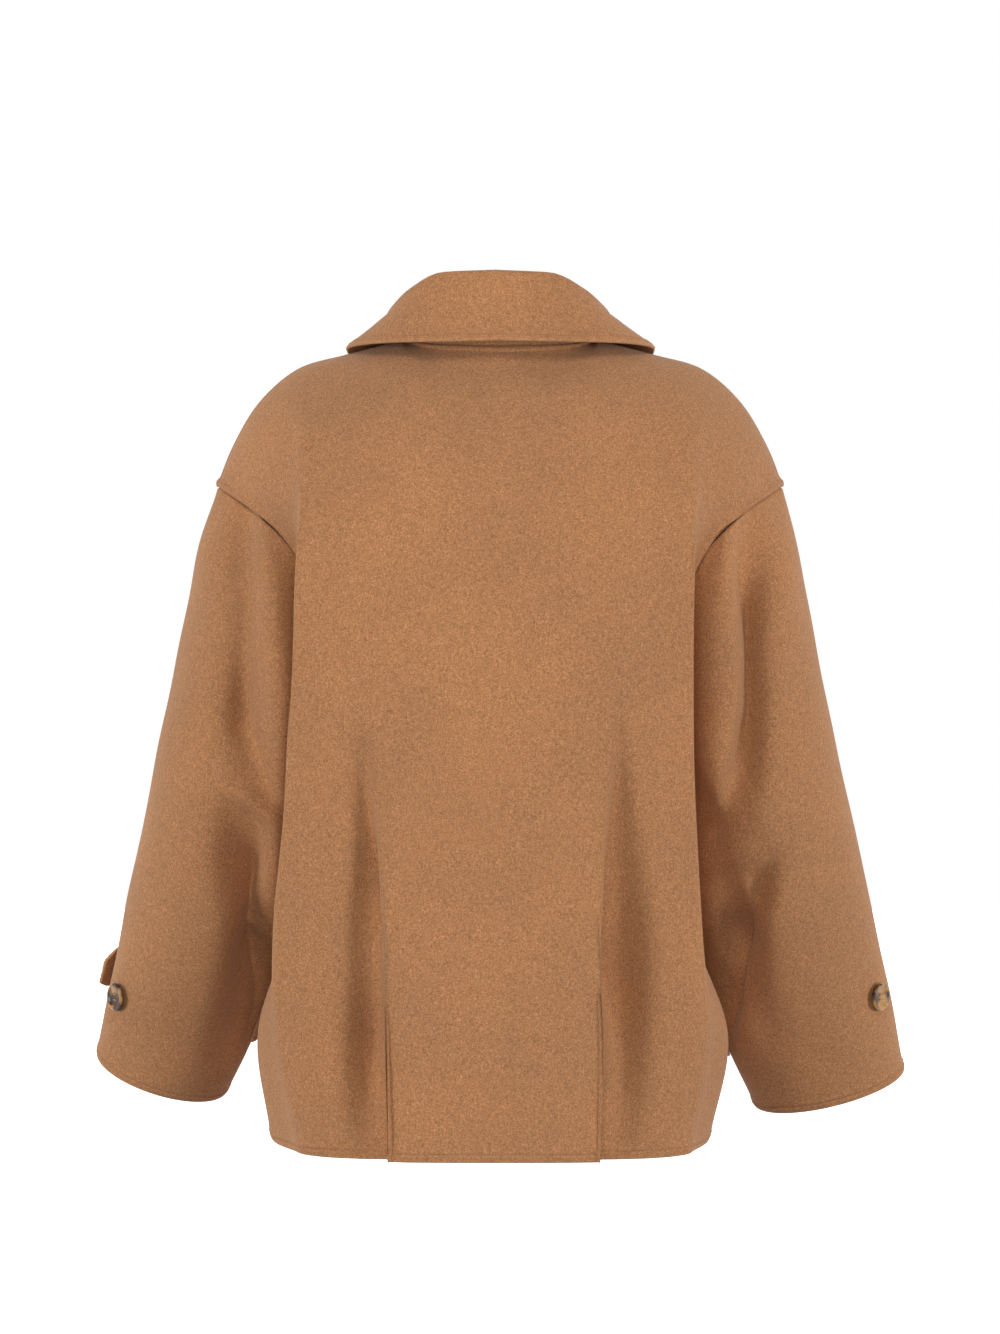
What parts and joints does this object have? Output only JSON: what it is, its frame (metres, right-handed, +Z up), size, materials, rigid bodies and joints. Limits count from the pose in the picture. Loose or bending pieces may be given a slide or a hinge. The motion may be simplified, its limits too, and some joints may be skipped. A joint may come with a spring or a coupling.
{
  "type": "double-breasted coat",
  "caption": "Short double-breasted coat of thick felted wool, filled out as worn, with a folded collar, lapels, dropped sleeves, back pleats, cuff straps and horn buttons.",
  "frame": {"origin": "middle of the neck opening, level with the neck seam at the centre back", "axes": "+Z up along the standing wearer, -Y the way the wearer faces, +X the wearer's left"},
  "size_m": [0.732, 0.3199, 0.7554],
  "materials": {
    "camel_wool": "matte felted double-faced wool",
    "brown_horn": "polished mottled horn"
  },
  "bodies": {
    "root": {"back": "camel_wool", "front_left": "camel_wool", "front_right": "camel_wool", "sleeve_left": "camel_wool", "sleeve_right": "camel_wool", "collar": "camel_wool", "lapel_left": "camel_wool", "lapel_right": "camel_wool", "cuff_strap_left": "camel_wool", "cuff_strap_right": "camel_wool", "front_button_outer_1": "brown_horn", "front_button_outer_2": "brown_horn", "front_button_outer_3": "brown_horn", "front_button_inner_1": "brown_horn", "front_button_inner_2": "brown_horn", "front_button_inner_3": "brown_horn", "cuff_button_left": "brown_horn", "cuff_button_right": "brown_horn"}
  },
  "joints": []
}
